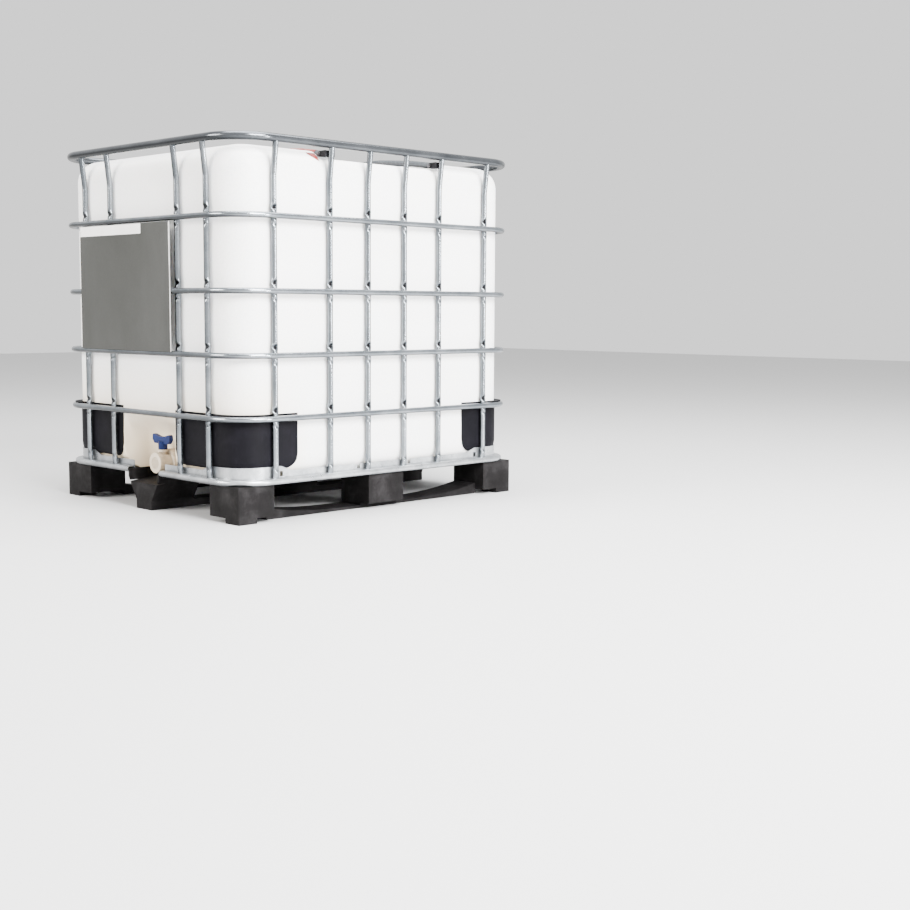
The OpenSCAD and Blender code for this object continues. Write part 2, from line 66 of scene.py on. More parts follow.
def noise(nodes, links, vector, scale, detail=4.0, rough=0.55, stretch=None, distort=0.0):
    """Noise over vector, which stretch scales unevenly along its axes."""
    if stretch:
        m = nodes.new("ShaderNodeMapping")
        m.inputs["Scale"].default_value = stretch
        links.new(vector, m.inputs["Vector"])
        vector = m.outputs[0]
    n = nodes.new("ShaderNodeTexNoise")
    n.inputs["Scale"].default_value = scale
    n.inputs["Detail"].default_value = detail
    n.inputs["Roughness"].default_value = rough
    n.inputs["Distortion"].default_value = distort
    links.new(vector, n.inputs["Vector"])
    return n.outputs["Fac"]


def mix(nodes, links, fac, a, b, mode="MIX"):
    """Colour a changed towards b by fac; each can be a socket or a plain value."""
    m = nodes.new("ShaderNodeMix")
    m.data_type = "RGBA"
    m.blend_type = mode
    for sock, v in ((m.inputs[0], fac), (m.inputs[6], a), (m.inputs[7], b)):
        if isinstance(v, (int, float)):
            sock.default_value = v
        elif isinstance(v, tuple):
            sock.default_value = (*v, 1)
        else:
            links.new(v, sock)
    return m.outputs[2]


def times(nodes, links, a, b):
    """Product of socket a with a socket or a number."""
    m = nodes.new("ShaderNodeMath")
    m.operation = "MULTIPLY"
    links.new(a, m.inputs[0])
    if isinstance(b, (int, float)):
        m.inputs[1].default_value = b
    else:
        links.new(b, m.inputs[1])
    return m.outputs[0]


def remap(nodes, links, value, source, target=(0.0, 1.0), interpolation="LINEAR"):
    """Maps value from the range source to the range target, clamped."""
    m = nodes.new("ShaderNodeMapRange")
    m.interpolation_type = interpolation
    for end, number in zip(("From Min", "From Max", "To Min", "To Max"), (*source, *target)):
        m.inputs[end].default_value = number
    links.new(value, m.inputs["Value"])
    return m.outputs[0]


FOOT_TINT_Z = (0.46, 0.20)      # heights where the foot's tint starts and is full
FOOT_TINT_Y = (-0.30, -0.47)    # the same towards the front
# colour of the dark mark painted as the shadow in each upright's dent
DENT_SHADOW_COLOUR = (0.014, 0.014, 0.016)
# colour of the shade painted on surfaces turned away from the light; the next line is the
# direction they face
SIDE_SHADE_COLOUR = (0.018, 0.02, 0.022)
LEE_SIDE = Vector((-0.33, -0.42, -0.85)).normalized()


def material(name, base, dark, light, metallic=0.0, rough=(0.4, 0.6), scale=9.0, fine=220.0,
             bump=0.15, wear=0.0, wear_color=(0.8, 0.8, 0.8), grime_and_shade=0.25, streak=None,
             subsurface=0.0, spangle=0.0, dirt_and_shade_color=(0.16, 0.13, 0.10), low_dirt=0.0,
             bump_distance=0.0006, specular=0.5, foot_tint=None, shade=0.0):
    """Layered surface: broad colour drift and fine speckle, then the layers that are asked for.

    spangle is zinc flakes, wear bare edges, and low_dirt blots near the floor. The hollows layer
    is dirt in hollows, and on the cage steel a near-black painted shade in its dents and pressed
    places.
    foot_tint is the foot of the front. shade is painted shade: a dark mark painted as the shadow
    in each upright's dent, and darkening painted on the sides that face away from the light.
    """
    mat = bpy.data.materials.new(name)
    mat.use_nodes = True
    nt = mat.node_tree
    nodes, links = nt.nodes, nt.links
    bsdf = nodes["Principled BSDF"]
    tc = nodes.new("ShaderNodeTexCoord")
    obj = tc.outputs["Object"]
    broad = noise(nodes, links, obj, scale, 5.0, 0.6, streak, 0.3)
    small = noise(nodes, links, obj, fine, 3.0, 0.6)
    colour = ramp(nodes, links, broad, [(0.30, dark), (0.52, base), (0.74, light)])
    speck = ramp(nodes, links, small, [(0.35, (0.86,)), (0.65, (1.0,))])
    colour = mix(nodes, links, 0.6, colour, speck, "MULTIPLY")
    if spangle:
        vor = nodes.new("ShaderNodeTexVoronoi")
        vor.inputs["Scale"].default_value = spangle
        links.new(obj, vor.inputs["Vector"])
        tone = ramp(nodes, links, vor.outputs["Color"], [(0.1, (0.80,)), (0.9, (1.08,))])
        colour = mix(nodes, links, 0.5, colour, tone, "MULTIPLY")
    geo = nodes.new("ShaderNodeNewGeometry")
    if wear:
        edge = ramp(nodes, links, geo.outputs["Pointiness"], [(0.51, (0,)), (0.56, (1,))])
        patch = ramp(nodes, links, noise(nodes, links, obj, 38.0, 6.0, 0.65),
                     [(0.42, (0,)), (0.62, (1,))])
        worn = times(nodes, links, times(nodes, links, edge, patch), wear)
        colour = mix(nodes, links, worn, colour, wear_color)
    # darkens hollows found by pointiness: dirt, and on the cage steel, with its near-black
    # colour, painted shade in the dents and pressed places
    if grime_and_shade:
        hollow = ramp(nodes, links, geo.outputs["Pointiness"], [(0.44, (1,)), (0.495, (0,))])
        colour = mix(nodes, links, times(nodes, links, hollow, grime_and_shade), colour, dirt_and_shade_color)
    if low_dirt or foot_tint:
        place = nodes.new("ShaderNodeSeparateXYZ")
        links.new(obj, place.inputs[0])
    if low_dirt:
        height = ramp(nodes, links, place.outputs["Z"],
                      [(0.0, (1,)), (0.14, (0.25,)), (0.4, (0,))])
        blot = ramp(nodes, links, noise(nodes, links, obj, 14.0, 6.0, 0.7),
                    [(0.4, (0,)), (0.7, (1,))])
        dirt = times(nodes, links, times(nodes, links, height, blot), low_dirt)
        colour = mix(nodes, links, dirt, colour, dirt_and_shade_color)
    if foot_tint:
        tint = times(nodes, links, remap(nodes, links, place.outputs["Z"], FOOT_TINT_Z),
                     remap(nodes, links, place.outputs["Y"], FOOT_TINT_Y))
        colour = mix(nodes, links, tint, colour, foot_tint)
    if shade:
        # a dark mark painted as the shadow in each upright's dent
        mark = nodes.new("ShaderNodeAttribute")
        mark.attribute_name = "dent_shadow"
        painted_dent_shadow = remap(nodes, links, mark.outputs["Fac"], (0.25, 0.75))
        colour = mix(nodes, links, painted_dent_shadow, colour, DENT_SHADOW_COLOUR)
        # shade painted on surfaces turned away from the light
        lee = nodes.new("ShaderNodeVectorMath")
        lee.operation = "DOT_PRODUCT"
        links.new(geo.outputs["Normal"], lee.inputs[0])
        lee.inputs[1].default_value = LEE_SIDE
        painted_side_shade = remap(nodes, links, lee.outputs["Value"], (0.0, 0.75), (0.0, shade), "SMOOTHSTEP")
        colour = mix(nodes, links, painted_side_shade, colour, SIDE_SHADE_COLOUR)
    links.new(colour, bsdf.inputs["Base Color"])
    patchy = noise(nodes, links, obj, scale * 4, 5.0, 0.6)
    links.new(remap(nodes, links, patchy, (0.0, 1.0), rough), bsdf.inputs["Roughness"])
    normal = None
    for height, distance in ((small, bump_distance), (broad, bump_distance * 4)):
        b = nodes.new("ShaderNodeBump")
        b.inputs["Strength"].default_value = bump
        b.inputs["Distance"].default_value = distance
        links.new(height, b.inputs["Height"])
        if normal:
            links.new(normal, b.inputs["Normal"])
        normal = b.outputs[0]
    links.new(normal, bsdf.inputs["Normal"])
    bsdf.inputs["Metallic"].default_value = metallic
    bsdf.inputs["Specular IOR Level"].default_value = specular
    bsdf.inputs["Subsurface Weight"].default_value = subsurface
    bsdf.inputs["Subsurface Radius"].default_value = (0.03, 0.025, 0.02)
    return mat


MATS = {
    "bottle_plastic": material("bottle_plastic", (0.955, 0.95, 0.94), (0.93, 0.92, 0.90),
                               (0.97, 0.97, 0.965), rough=(0.36, 0.5), scale=2.2, fine=160,
                               bump=0.05, grime_and_shade=0.1, dirt_and_shade_color=(0.55, 0.46, 0.34),
                               subsurface=0.12, low_dirt=0.25, foot_tint=(0.82, 0.70, 0.53)),
    "cap_plastic": material("cap_plastic", (0.14, 0.0036, 0.0018), (0.10, 0.0030, 0.0018),
                            (0.18, 0.007, 0.0035), rough=(0.35, 0.5), scale=12, specular=0.2,
                            dirt_and_shade_color=(0.05, 0.01, 0.008)),
    "seal_rubber": material("seal_rubber", (0.02, 0.02, 0.02), (0.013, 0.013, 0.013),
                            (0.04, 0.04, 0.04), rough=(0.6, 0.8), scale=20, specular=0.3),
    "valve_plastic": material("valve_plastic", (0.62, 0.53, 0.41), (0.50, 0.41, 0.30),
                              (0.74, 0.66, 0.55), rough=(0.4, 0.55), scale=14, grime_and_shade=0.6,
                              dirt_and_shade_color=(0.2, 0.15, 0.09), subsurface=0.1),
    "disc_plastic": material("disc_plastic", (0.05, 0.05, 0.055), (0.04, 0.04, 0.04),
                             (0.08, 0.08, 0.085), scale=14),
    "handle_plastic": material("handle_plastic", (0.0006, 0.011, 0.082), (0.0005, 0.006, 0.050),
                               (0.0012, 0.018, 0.12), rough=(0.28, 0.42), scale=16,
                               specular=0.2),
    "bolt_steel": material("bolt_steel", (0.10, 0.10, 0.11), (0.07, 0.07, 0.08),
                           (0.16, 0.16, 0.17), metallic=0.9, rough=(0.3, 0.5), scale=40),
    # the cage steel's near-black hollow colour is painted shade in its dents; its shade paints
    # dent shadows and darker sides away from the light
    "cage_steel": material("cage_steel", (0.24, 0.262, 0.285), (0.16, 0.18, 0.20),
                           (0.34, 0.365, 0.39), metallic=0.92, rough=(0.16, 0.27), scale=9,
                           fine=120, bump=0.05, grime_and_shade=1.0, dirt_and_shade_color=(0.008, 0.008, 0.008),
                           shade=0.92),
    # shade paints the rim's sides that are turned away from the light darker
    "rim_steel": material("rim_steel", (0.10, 0.108, 0.118), (0.065, 0.07, 0.078),
                          (0.155, 0.166, 0.18), metallic=0.92, rough=(0.16, 0.26), scale=6,
                          fine=120, bump=0.05, grime_and_shade=0.3, shade=0.97),
    # shade paints the pan's sides that are turned away from the light darker
    "pan_steel": material("pan_steel", (0.48, 0.50, 0.52), (0.30, 0.32, 0.34),
                          (0.70, 0.72, 0.74), metallic=0.85, rough=(0.22, 0.36), scale=13,
                          fine=160, bump=0.15, grime_and_shade=0.6, spangle=70, low_dirt=0.3,
                          shade=0.75),
    # near-white colour: a painted highlight along the plate's folded edge
    "fold_steel": material("fold_steel", (0.80, 0.80, 0.79), (0.62, 0.62, 0.61),
                           (0.90, 0.90, 0.89), metallic=0.2, rough=(0.3, 0.45), scale=20,
                           fine=200, bump=0.1),
    "guard_plastic": material("guard_plastic", (0.0030, 0.0028, 0.0042), (0.002, 0.002, 0.003),
                              (0.0055, 0.005, 0.0075), rough=(0.5, 0.65), scale=10, bump=0.2,
                              grime_and_shade=0.0, specular=0.06),
    "bracket_steel": material("bracket_steel", (0.005, 0.005, 0.006), (0.003, 0.003, 0.004),
                              (0.010, 0.010, 0.012), rough=(0.45, 0.65), scale=30,
                              grime_and_shade=0.0, specular=0.1),
    "plate_steel": material("plate_steel", (0.040, 0.041, 0.038), (0.030, 0.031, 0.028),
                            (0.052, 0.053, 0.050), metallic=0.3, rough=(0.4, 0.55), scale=4,
                            fine=180, bump=0.1, streak=(1, 1, 0.6), bump_distance=0.002,
                            grime_and_shade=0.0, specular=0.35),
    "block_plastic": material("block_plastic", (0.0056, 0.0050, 0.0052), (0.0026, 0.0022, 0.0023),
                              (0.0170, 0.0158, 0.0164), rough=(0.5, 0.8), scale=17, fine=90,
                              bump=0.45, grime_and_shade=0.0, specular=0.09),
    "paper": material("paper", (0.84, 0.83, 0.81), (0.78, 0.77, 0.74), (0.88, 0.88, 0.87),
                      rough=(0.5, 0.7), scale=18, fine=260, bump=0.05, grime_and_shade=0.0),
    "red_paint": material("red_paint", (0.20, 0.006, 0.0025), (0.14, 0.005, 0.0025),
                          (0.24, 0.016, 0.007), rough=(0.4, 0.6), scale=40, wear=0.4,
                          wear_color=(0.35, 0.31, 0.29)),
}
for row in record["subparts"]:
    node = frame["nodes"][row["node"]]
    node.data.materials.clear()
    node.data.materials.append(MATS[row["material_slot"]])


# ------------------------------------------------------------------ helpers


def finish_piece(name, bm, slot, body, nodes=(), smooth=40, bevel=0.0):
    """Makes a visible piece from bm that rides on body, in place of the CAD nodes named."""
    bmesh.ops.remove_doubles(bm, verts=bm.verts, dist=1e-6)
    bmesh.ops.recalc_face_normals(bm, faces=bm.faces)
    mesh = bpy.data.meshes.new(name)
    bm.to_mesh(mesh)
    bm.free()
    obj = bpy.data.objects.new(name, mesh)
    bpy.context.scene.collection.objects.link(obj)
    mesh.materials.append(MATS[slot])
    for p in mesh.polygons:
        p.use_smooth = True
    mesh.set_sharp_from_angle(angle=math.radians(smooth))
    if bevel:
        m = obj.modifiers.new("edge", "BEVEL")
        m.width = bevel
        m.segments = 3
        m.limit_method = "ANGLE"
        m.angle_limit = math.radians(30)
        m.harden_normals = True
    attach(obj, body)
    if nodes:
        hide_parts(*nodes)


def skin(bm, rings, closed=False):
    """Faces between neighbouring rings of verts, with both ends capped unless closed."""
    n = len(rings[0])
    pairs = list(zip(rings, rings[1:])) + ([(rings[-1], rings[0])] if closed else [])
    for r0, r1 in pairs:
        for k in range(n):
            bm.faces.new((r0[k], r0[(k + 1) % n], r1[(k + 1) % n], r1[k]))
    if not closed:
        bm.faces.new(rings[0])
        bm.faces.new(rings[-1])


def sheet_faces(bm, grid, nx, nz):
    """Faces of a thin sheet from grid[layer, i, k]: both sides, then the edge all round."""
    for layer in (0, 1):
        for i in range(nx):
            for k in range(nz):
                bm.faces.new((grid[layer, i, k], grid[layer, i + 1, k],
                              grid[layer, i + 1, k + 1], grid[layer, i, k + 1]))
    line = ([(i, 0) for i in range(nx)] + [(nx, k) for k in range(nz)]
            + [(i, nz) for i in range(nx, 0, -1)] + [(0, k) for k in range(nz, 0, -1)])
    for p, q in zip(line, line[1:] + line[:1]):
        bm.faces.new((grid[0, p[0], p[1]], grid[0, q[0], q[1]],
                      grid[1, q[0], q[1]], grid[1, p[0], p[1]]))


def sweep(bm, stations, section, closed=False, dent_shadow=None):
    """Skins a tube: stations are (centre, out, side) and section(i) gives (out, side) offsets.

    Its last argument, if given, is called as (i, u, v) and gives at each point, from 0 to 1, the
    dark mark painted as the shadow in a dent.
    """
    rings = []
    layer = bm.verts.layers.float.new("dent_shadow") if dent_shadow else None
    for i, (c, a, b) in enumerate(stations):
        rings.append([bm.verts.new(c + a * u + b * v) for u, v in section(i)])
        if dent_shadow:
            for vert, (u, v) in zip(rings[-1], section(i)):
                vert[layer] = dent_shadow(i, u, v)
    skin(bm, rings, closed)


def rounded_loop(half_x, half_y, radius, z, step):
    """Stations once round a rounded rectangle, with the outward direction at each."""
    out = []
    up = Vector((0, 0, 1))
    corners = [(1, 1, 0), (-1, 1, 90), (-1, -1, 180), (1, -1, 270)]
    for n, (sx, sy, start) in enumerate(corners):
        centre = Vector((sx * (half_x - radius), sy * (half_y - radius), z))
        arcs = max(8, int(radius * math.pi / 2 / step))
        for k in range(arcs + 1):
            t = math.radians(start + 90 * k / arcs)
            d = Vector((math.cos(t), math.sin(t), 0))
            out.append((centre + d * radius, d, up))
        nx, ny, _ = corners[(n + 1) % 4]
        t = math.radians(start + 90)
        d = Vector((math.cos(t), math.sin(t), 0))
        a = centre + d * radius
        b = Vector((nx * (half_x - radius), ny * (half_y - radius), z)) + d * radius
        count = int((b - a).length / step)
        for k in range(1, count):
            out.append((a.lerp(b, k / count), d, up))
    return out


def circle(r, n=20):
    """Points once round a circle about the origin."""
    return [(r * math.cos(2 * math.pi * k / n), r * math.sin(2 * math.pi * k / n))
            for k in range(n)]


# --------------------------------------------------------------------- cage

RINGS = ["ring_top", "ring_upper", "ring_middle", "ring_lower"]
UPRIGHTS = sorted(n for n in frame["nodes"] if n.startswith("upright_"))
ring_z = [sum(c.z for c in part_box(n)) / 2 for n in RINGS]
ring_lo, ring_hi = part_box("ring_top")
tube_r = (ring_hi.z - ring_lo.z) / 2
rim_lo, rim_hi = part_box("cage_rim")
rim_r = (rim_hi.z - rim_lo.z) / 2
CORNER_R = 130 * MM         # corners of the rings and the rim
PRESS = 1.5 * MM            # how far a tube is pressed flat where two cross
CROSS_HALF = 13 * MM        # half the length of a pressed place
# pinches in an upright: rise over the ring or the foot, width and depth
PINCH_ABOVE = (25 * MM, 8 * MM, 8 * MM)
PINCH_BELOW = (-24 * MM, 5 * MM, 3.5 * MM)
PINCH_FOOT = (26 * MM, 6 * MM, 4 * MM)
FOOT_FLAT = 16 * MM         # height over which the foot is pressed to a blade
# reach of the painted dent shadow above each ring
DENT_SHADOW_REACH = 15 * MM
STEP_UP = 3 * MM            # height between an upright's stations
SIDE_X = 0.45               # uprights further out than this stand on a long side
BEND_Z = 1030 * MM          # above this an upright leans out to the rim
LEAN = math.tan(math.radians(6.84))


def upright_place(node):
    """Foot of an upright's centre line, the direction it faces, and its top."""
    lo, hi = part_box(node)
    c = (lo + hi) / 2
    if abs(c.x) > abs(c.y) and abs(c.x) > SIDE_X:
        s = math.copysign(1, c.x)
        inner = min(abs(lo.x), abs(hi.x)) + tube_r
        return Vector((s * inner, c.y, lo.z)), Vector((s, 0, 0)), hi.z
    s = math.copysign(1, c.y)
    inner = min(abs(lo.y), abs(hi.y)) + tube_r
    return Vector((c.x, s * inner, lo.z)), Vector((0, s, 0)), hi.z


PLACES = {n: upright_place(n) for n in UPRIGHTS}


def pinch(z, start, shape):
    """Depth at z of a soft dent whose shape is (rise over start, width, depth)."""
    rise, width, depth = shape
    return depth * math.exp(-((z - (start + rise)) / width) ** 2)


for node in UPRIGHTS:
    foot, out, top = PLACES[node]
    side = Vector((0, 0, 1)).cross(out)
    heights, z = [], foot.z
    while z < top - STEP_UP / 2:
        heights.append(z)
        z += STEP_UP
    heights.append(top - 1.0 * MM)
    stations = []
    for z in heights:
        lean = max(0.0, z - BEND_Z) * LEAN
        stations.append((Vector((foot.x, foot.y, z)) + out * lean, out, side))

    def section(i, heights=heights, foot=foot):
        z = heights[i]
        flat = 0.0
        for rz in ring_z:
            if abs(z - rz) < CROSS_HALF:
                flat = max(flat, PRESS)
            flat = max(flat, pinch(z, rz, PINCH_ABOVE), pinch(z, rz, PINCH_BELOW))
        flat = max(flat, pinch(z, foot.z, PINCH_FOOT))
        low = max(0.0, 1 - (z - foot.z) / FOOT_FLAT)
        thin = 1 - 0.42 * low
        wide = 1 + 0.22 * low + 0.06 * flat / PRESS
        return [(min(u * thin, tube_r - flat), v * wide) for u, v in circle(tube_r)]

    # a dark mark painted on the outer face at the dent above each ring, as its shadow
    def dent_shadow(i, u, v, heights=heights):
        if u <= -1 * MM or abs(v) >= 0.7 * tube_r:
            return 0.0
        near = min(abs(heights[i] - rz - PINCH_ABOVE[0]) for rz in ring_z)
        return max(0.0, 1 - near / DENT_SHADOW_REACH)

    bm = bmesh.new()
    sweep(bm, stations, section, dent_shadow=dent_shadow)
    finish_piece("tube_" + node, bm, "cage_steel", "container", [node], smooth=60)

for node, z in zip(RINGS, ring_z):
    stations = rounded_loop(ring_hi.x - tube_r, ring_hi.y - tube_r, CORNER_R, z, 6 * MM)

    def section(i, stations=stations):
        c, d, _ = stations[i]
        flat = 0.0
        for foot, out, _ in PLACES.values():
            if d.dot(out) > 0.99:
                across = abs(c.y - foot.y) if abs(out.x) > 0.5 else abs(c.x - foot.x)
                if across < CROSS_HALF:
                    flat = PRESS
        return [(max(u, -tube_r + flat), v) for u, v in circle(tube_r)]

    bm = bmesh.new()
    sweep(bm, stations, section, closed=True)
    finish_piece("tube_" + node, bm, "cage_steel", "container", [node], smooth=60)

rim_z = (rim_lo.z + rim_hi.z) / 2
stations = rounded_loop(rim_hi.x - rim_r, rim_hi.y - rim_r, CORNER_R, rim_z, 8 * MM)
bm = bmesh.new()
sweep(bm, stations, lambda i: circle(rim_r, 28), closed=True)
finish_piece("top_rim_tube", bm, "rim_steel", "container", ["cage_rim"], smooth=60)


# ------------------------------------------------------------------- bottle

def shell_row(half_x, half_y, radius, z, arcs, runs):
    """Points once round a rounded rectangle: arcs steps per corner, runs steps per side."""
    pts = []
    corners = [(1, 1, 0), (-1, 1, 90), (-1, -1, 180), (1, -1, 270)]
    for n, (sx, sy, start) in enumerate(corners):
        cx, cy = sx * (half_x - radius), sy * (half_y - radius)
        for k in range(arcs + 1):
            t = math.radians(start + 90 * k / arcs)
            pts.append(Vector((cx + radius * math.cos(t), cy + radius * math.sin(t), z)))
        nx, ny, _ = corners[(n + 1) % 4]
        a = pts[-1]
        t = math.radians(start + 90)
        b = Vector((nx * (half_x - radius) + radius * math.cos(t),
                    ny * (half_y - radius) + radius * math.sin(t), z))
        count = runs[n % 2]
        for k in range(1, count):
            pts.append(a.lerp(b, k / count))
    return pts


bottle_lo, bottle_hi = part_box("bottle")
bar_lo, bar_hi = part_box("tie_bar_front")
bar_y = (bar_lo.y + bar_hi.y) / 2
half_x, half_y, low = bottle_hi.x, bottle_hi.y, bottle_lo.z
CROWN = 1122 * MM           # top face of the bottle
EDGE_R = 92 * MM            # upright corners
BASE_R = 75 * MM            # edge along the foot
SHOULDER_R = 70 * MM        # edge along the top
ROW_STEP = 10 * MM
TOP_STEP = 7 * MM


def bottle_form():
    """The bottle's closed outside before its cuts, swelling a little between the rings."""
    rows = []
    for k in range(11):
        t = math.radians(90 * k / 10)
        rows.append((BASE_R * (1 - math.sin(t)), low + BASE_R * (1 - math.cos(t))))
    z = low + BASE_R + ROW_STEP
    while z < CROWN - SHOULDER_R - 4 * MM:
        rows.append((0.0, z))
        z += ROW_STEP
    for k in range(13):
        t = math.radians(90 * k / 12)
        rows.append((SHOULDER_R * (1 - math.cos(t)),
                     CROWN - SHOULDER_R + SHOULDER_R * math.sin(t)))
    inset = SHOULDER_R
    while inset < 380 * MM:
        inset += TOP_STEP
        rows.append((inset, CROWN))
    bm = bmesh.new()
    rings = []
    for inset, z in rows:
        r = max(EDGE_R - inset, 14 * MM)
        points = shell_row(half_x - inset, half_y - inset, r, z, 14, (100, 124))
        if inset == 0.0:
            near = min(abs(z - rz) for rz in ring_z)
            swell = 2.5 * MM * min(1.0, near / (60 * MM)) - 1.0 * MM
            for p in points:
                on_x, on_y = abs(p.x) > half_x - 1e-4, abs(p.y) > half_y - 1e-4
                if on_x:
                    p.x += math.copysign(swell, p.x)
                if on_y:
                    p.y += math.copysign(swell, p.y)
        rings.append([bm.verts.new(p) for p in points])
    skin(bm, rings)
    return bm


def cutter(name, bm):
    """Turns bm into a plain object for a boolean."""
    mesh = bpy.data.meshes.new(name)
    bmesh.ops.recalc_face_normals(bm, faces=bm.faces)
    bm.to_mesh(mesh)
    bm.free()
    obj = bpy.data.objects.new(name, mesh)
    bpy.context.scene.collection.objects.link(obj)
    return obj


def prism(bm, outline, axis, start, end):
    """Solid with an outline in the two other axes, run along axis from start to end."""
    def at(p, t):
        if axis == "X":
            return Vector((t, p[0], p[1]))
        if axis == "Y":
            return Vector((p[0], t, p[1]))
        return Vector((p[0], p[1], t))
    a = [bm.verts.new(at(p, start)) for p in outline]
    b = [bm.verts.new(at(p, end)) for p in outline]
    bm.faces.new(a)
    bm.faces.new(b)
    for k in range(len(a)):
        bm.faces.new((a[k], a[(k + 1) % len(a)], b[(k + 1) % len(a)], b[k]))


def arc(cx, cz, r, a0, a1, n=10):
    """Points along an arc from a0 to a1 degrees."""
    return [(cx + r * math.cos(math.radians(a0 + (a1 - a0) * k / n)),
             cz + r * math.sin(math.radians(a0 + (a1 - a0) * k / n))) for k in range(n + 1)]


def apply_cuts(obj, cutters):
    """Cuts every cutter out of obj, removes all of them, and gives the result as a new bmesh."""
    for c in cutters:
        m = obj.modifiers.new("cut", "BOOLEAN")
        m.operation = "DIFFERENCE"
        m.solver = "EXACT"
        m.object = c
    bpy.context.view_layer.update()
    dg = bpy.context.evaluated_depsgraph_get()
    mesh = bpy.data.meshes.new_from_object(obj.evaluated_get(dg))
    obj.modifiers.clear()
    for c in cutters:
        bpy.data.objects.remove(c)
    bm = bmesh.new()
    bm.from_mesh(mesh)
    bpy.data.objects.remove(obj)
    return bm


RECESS_BACK = -474 * MM
MOUTH_R = 75 * MM
form = cutter("form", bottle_form())
cuts = []

# the valve's recess: a box that narrows towards its back wall, with soft inner edges
bm = bmesh.new()
rings = []
for y, half_width, top in ((-half_y - 0.04, 145 * MM, 306 * MM), (-half_y, 145 * MM, 306 * MM),
                           (RECESS_BACK, 112 * MM, 262 * MM)):
    rings.append([bm.verts.new((x, y, z)) for x, z in (
        (-half_width, low - 0.05), (half_width, low - 0.05), (half_width, top),
        (-half_width, top))])
skin(bm, rings)
soft = [e for e in bm.edges
        if (all(v.co.y > -0.48 for v in e.verts) and any(v.co.z > 0.1 for v in e.verts))
        or (abs(e.verts[0].co.y - e.verts[1].co.y) > 0.05 and all(v.co.z > 0.2 for v in e.verts))]
bmesh.ops.bevel(bm, geom=soft, offset=34 * MM, segments=8, affect="EDGES", profile=0.5)
cuts.append(cutter("recess", bm))

# the sunk band across the top, between and under the tie bars
bm = bmesh.new()
floor = [(-0.49, 1.085), (-0.466, 1.095), (-0.357, 1.110), (-0.197, 1.1235)]
outline = floor + [(-x, z) for x, z in reversed(floor)] + [(0.49, 1.15), (-0.49, 1.15)]
prism(bm, outline, "Y", bar_y - 20 * MM, -bar_y + 20 * MM)
soft = [e for e in bm.edges
        if all(v.co.z < 1.13 for v in e.verts)
        and abs(e.verts[0].co.y - e.verts[1].co.y) < 1e-4
        and abs(e.verts[0].co.x - e.verts[1].co.x) > 0.01]
bmesh.ops.bevel(bm, geom=soft, offset=9 * MM, segments=5, affect="EDGES", profile=0.5)
cuts.append(cutter("top_band", bm))

bm = bmesh.new()
prism(bm, circle(MOUTH_R, 64), "Z", CROWN - 0.03, CROWN + 0.05)
cuts.append(cutter("mouth", bm))
finish_piece("bottle_shell", apply_cuts(form, cuts), "bottle_plastic", "container",
             ["bottle"], smooth=38)


def lathe(bm, profile, centre, axis, n=64):
    """Turned solid: profile of (radius, along) points, closed on itself."""
    along = Vector(axis).normalized()
    side = along.orthogonal().normalized()
    other = along.cross(side)
    rings = []
    for r, t in profile:
        ring = []
        for k in range(n):
            a = 2 * math.pi * k / n
            ring.append(bm.verts.new(centre + along * t
                                     + (side * math.cos(a) + other * math.sin(a)) * r))
        rings.append(ring)
    skin(bm, rings, closed=True)


NECK_TOP = 1136 * MM
NECK_R = 80 * MM
bm = bmesh.new()
lathe(bm, [(NECK_R + 10 * MM, CROWN - 2 * MM), (NECK_R + 2 * MM, CROWN + 1 * MM),
           (NECK_R, CROWN + 4 * MM), (NECK_R, NECK_TOP - 1 * MM), (NECK_R - 1 * MM, NECK_TOP),
           (MOUTH_R + 1 * MM, NECK_TOP), (MOUTH_R, NECK_TOP - 1 * MM),
           (MOUTH_R, CROWN - 30 * MM), (MOUTH_R + 3 * MM, CROWN - 30 * MM),
           (MOUTH_R + 3 * MM, CROWN - 6 * MM)],
      Vector((0, 0, 0)), (0, 0, 1))
finish_piece("bottle_mouth", bm, "bottle_plastic", "container")

OUTLET_Z = 145 * MM
OUTLET_BORE = 24.3 * MM
bm = bmesh.new()
lathe(bm, [(34 * MM, -2 * MM), (31.6 * MM, 2.5 * MM), (31 * MM, 6 * MM), (31 * MM, 19.5 * MM),
           (30.5 * MM, 20 * MM), (OUTLET_BORE, 20 * MM), (OUTLET_BORE, -2 * MM)],
      Vector((0, RECESS_BACK, OUTLET_Z)), (0, -1, 0), 48)
finish_piece("bottle_outlet_neck", bm, "bottle_plastic", "container")


# -------------------------------------------------------------- label plate

plate_lo, plate_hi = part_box("label_plate")
PLATE_DEPTHS = (0.25 * MM, 0.8 * MM)    # front and back face, behind the CAD node's front
PLATE_WAVE = 0.15 * MM
nx, nz = 40, 30
bm = bmesh.new()
grid = {}
for layer, depth in enumerate(PLATE_DEPTHS):
    for i in range(nx + 1):
        for k in range(nz + 1):
            u, w = i / nx, k / nz
            x = plate_lo.x + (plate_hi.x - plate_lo.x) * u
            z = plate_lo.z + (plate_hi.z - plate_lo.z) * w
            wave = PLATE_WAVE * abs(math.sin(5.3 * u + 1.7) * math.sin(4.1 * w + 0.4))
            grid[layer, i, k] = bm.verts.new((x, plate_lo.y + depth + wave, z))
sheet_faces(bm, grid, nx, nz)
finish_piece("front_plate", bm, "plate_steel", "container", ["label_plate"])

